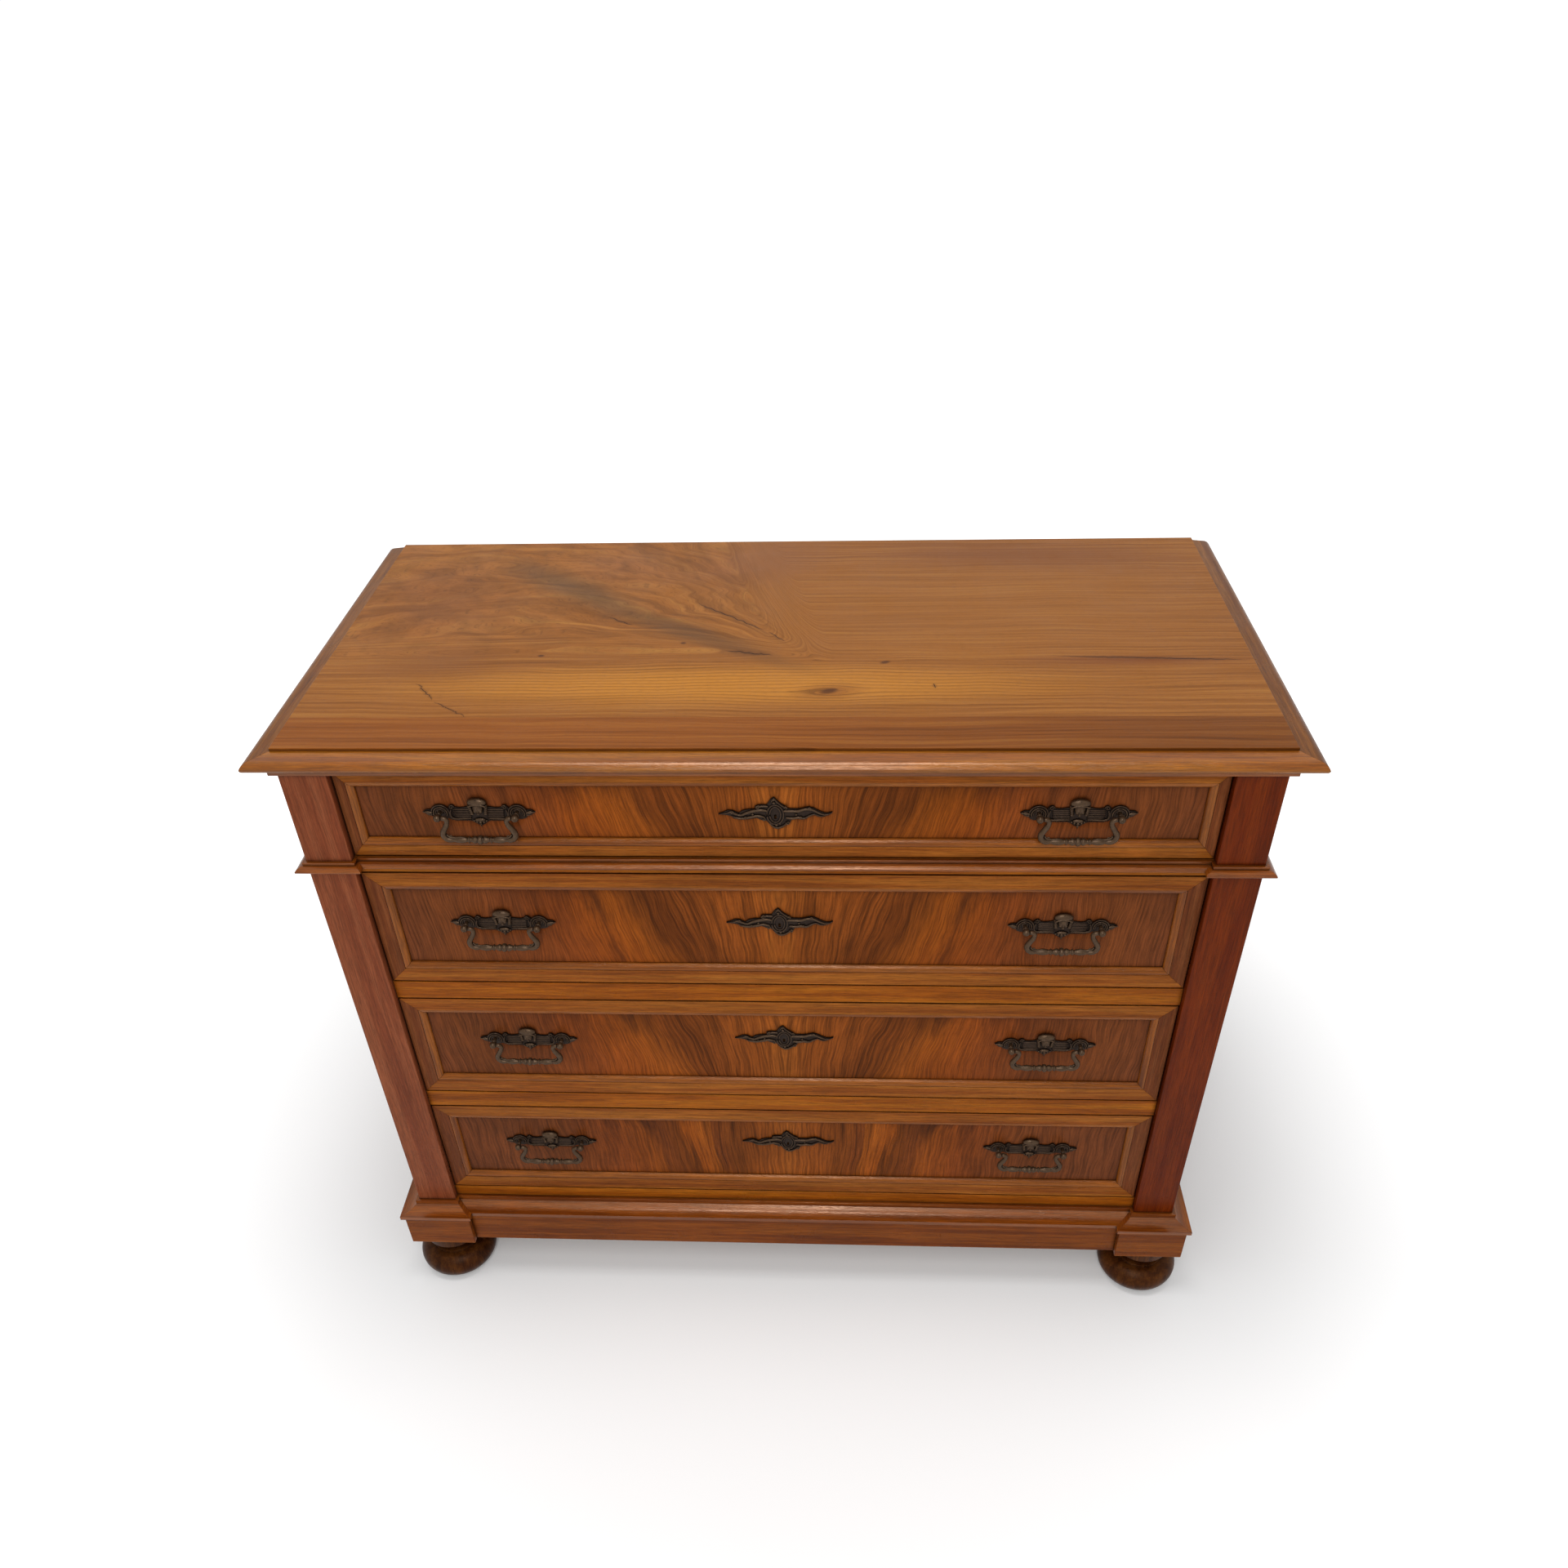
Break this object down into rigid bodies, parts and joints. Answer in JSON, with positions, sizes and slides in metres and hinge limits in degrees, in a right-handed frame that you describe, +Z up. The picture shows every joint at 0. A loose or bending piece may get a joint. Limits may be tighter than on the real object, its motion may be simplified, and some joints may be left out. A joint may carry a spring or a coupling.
{
  "type": "chest of drawers",
  "caption": "Walnut commode: framed drawers with bail handles, front pilasters, broken mouldings and turned bun feet.",
  "frame": {"origin": "on the floor below the middle of the piece's footprint", "axes": "+X along the front to the right as seen from the front, the front faces -Y, +Z up"},
  "size_m": [1.2, 0.6089, 0.958],
  "materials": {
    "walnut_top": "shellacked, brown, lightly worn",
    "walnut_moulding": "shellacked, ochre brown",
    "walnut_post": "shellacked, red-brown",
    "walnut_rail": "shellacked, golden brown",
    "walnut_frame": "shellacked, brown",
    "walnut_flame": "figured veneer, shellacked",
    "walnut_foot": "turned, shellacked, dark",
    "walnut_side": "shellacked, brown",
    "pine": "planed, unfinished, aged",
    "bronze": "cast, dark patina",
    "iron": "filed, dull"
  },
  "bodies": {
    "carcase": {"top_panel": "walnut_top", "top_moulding_front": "walnut_moulding", "top_moulding_sides": "walnut_moulding", "bed_moulding": "walnut_moulding", "front_post_left": "walnut_post", "front_post_right": "walnut_post", "rear_posts": "walnut_side", "side_rails": "walnut_side", "side_panel_left": "walnut_side", "side_panel_right": "walnut_side", "top_rail": "walnut_rail", "divider_rails": "walnut_rail", "bottom_rail": "walnut_rail", "drawer_runners": "pine", "dust_boards": "pine", "back_panel": "pine", "plinth_centre": "walnut_moulding", "plinth_returns": "walnut_moulding", "plinth_moulding": "walnut_moulding", "waist_moulding_centre": "walnut_moulding", "waist_moulding_left": "walnut_moulding", "waist_moulding_right": "walnut_moulding", "front_feet": "walnut_foot", "rear_feet": "walnut_foot"},
    "drawer_1": {"drawer_1_front": "walnut_flame", "drawer_1_frame": "walnut_frame", "drawer_1_box": "pine", "drawer_1_escutcheon": "bronze", "drawer_1_lock": "iron", "drawer_1_handle_plates": "bronze"},
    "drawer_1_bolt": {"drawer_1_bolt": "iron"},
    "drawer_1_bail_left": {"drawer_1_bail_left": "bronze"},
    "drawer_1_bail_right": {"drawer_1_bail_right": "bronze"},
    "drawer_2": {"drawer_2_front": "walnut_flame", "drawer_2_frame": "walnut_frame", "drawer_2_box": "pine", "drawer_2_escutcheon": "bronze", "drawer_2_lock": "iron", "drawer_2_handle_plates": "bronze"},
    "drawer_2_bolt": {"drawer_2_bolt": "iron"},
    "drawer_2_bail_left": {"drawer_2_bail_left": "bronze"},
    "drawer_2_bail_right": {"drawer_2_bail_right": "bronze"},
    "drawer_3": {"drawer_3_front": "walnut_flame", "drawer_3_frame": "walnut_frame", "drawer_3_box": "pine", "drawer_3_escutcheon": "bronze", "drawer_3_lock": "iron", "drawer_3_handle_plates": "bronze"},
    "drawer_3_bolt": {"drawer_3_bolt": "iron"},
    "drawer_3_bail_left": {"drawer_3_bail_left": "bronze"},
    "drawer_3_bail_right": {"drawer_3_bail_right": "bronze"},
    "drawer_4": {"drawer_4_front": "walnut_flame", "drawer_4_frame": "walnut_frame", "drawer_4_box": "pine", "drawer_4_escutcheon": "bronze", "drawer_4_lock": "iron", "drawer_4_handle_plates": "bronze"},
    "drawer_4_bolt": {"drawer_4_bolt": "iron"},
    "drawer_4_bail_left": {"drawer_4_bail_left": "bronze"},
    "drawer_4_bail_right": {"drawer_4_bail_right": "bronze"}
  },
  "joints": [
    {"name": "drawer_1_slide", "type": "slide", "parent": "carcase", "child": "drawer_1", "axis": [0, -1, 0], "range_m": [0, 0.4]},
    {"name": "drawer_1_bolt_slide", "type": "slide", "parent": "drawer_1", "child": "drawer_1_bolt", "axis": [0, 0, 1], "range_m": [0, 0.007]},
    {"name": "drawer_1_bail_left_swing", "type": "hinge", "parent": "drawer_1", "child": "drawer_1_bail_left", "pos_m": [-0.345, -0.2725, 0.874], "axis": [-1, 0, 0], "range_deg": [-20, 110]},
    {"name": "drawer_1_bail_right_swing", "type": "hinge", "parent": "drawer_1", "child": "drawer_1_bail_right", "pos_m": [0.345, -0.2725, 0.874], "axis": [-1, 0, 0], "range_deg": [-20, 110]},
    {"name": "drawer_2_slide", "type": "slide", "parent": "carcase", "child": "drawer_2", "axis": [0, -1, 0], "range_m": [0, 0.4]},
    {"name": "drawer_2_bolt_slide", "type": "slide", "parent": "drawer_2", "child": "drawer_2_bolt", "axis": [0, 0, 1], "range_m": [0, 0.007]},
    {"name": "drawer_2_bail_left_swing", "type": "hinge", "parent": "drawer_2", "child": "drawer_2_bail_left", "pos_m": [-0.345, -0.2725, 0.706], "axis": [-1, 0, 0], "range_deg": [-20, 110]},
    {"name": "drawer_2_bail_right_swing", "type": "hinge", "parent": "drawer_2", "child": "drawer_2_bail_right", "pos_m": [0.345, -0.2725, 0.706], "axis": [-1, 0, 0], "range_deg": [-20, 110]},
    {"name": "drawer_3_slide", "type": "slide", "parent": "carcase", "child": "drawer_3", "axis": [0, -1, 0], "range_m": [0, 0.4]},
    {"name": "drawer_3_bolt_slide", "type": "slide", "parent": "drawer_3", "child": "drawer_3_bolt", "axis": [0, 0, 1], "range_m": [0, 0.007]},
    {"name": "drawer_3_bail_left_swing", "type": "hinge", "parent": "drawer_3", "child": "drawer_3_bail_left", "pos_m": [-0.345, -0.2725, 0.5], "axis": [-1, 0, 0], "range_deg": [-20, 110]},
    {"name": "drawer_3_bail_right_swing", "type": "hinge", "parent": "drawer_3", "child": "drawer_3_bail_right", "pos_m": [0.345, -0.2725, 0.5], "axis": [-1, 0, 0], "range_deg": [-20, 110]},
    {"name": "drawer_4_slide", "type": "slide", "parent": "carcase", "child": "drawer_4", "axis": [0, -1, 0], "range_m": [0, 0.4]},
    {"name": "drawer_4_bolt_slide", "type": "slide", "parent": "drawer_4", "child": "drawer_4_bolt", "axis": [0, 0, 1], "range_m": [0, 0.007]},
    {"name": "drawer_4_bail_left_swing", "type": "hinge", "parent": "drawer_4", "child": "drawer_4_bail_left", "pos_m": [-0.345, -0.2725, 0.2895], "axis": [-1, 0, 0], "range_deg": [-20, 110]},
    {"name": "drawer_4_bail_right_swing", "type": "hinge", "parent": "drawer_4", "child": "drawer_4_bail_right", "pos_m": [0.345, -0.2725, 0.2895], "axis": [-1, 0, 0], "range_deg": [-20, 110]}
  ]
}
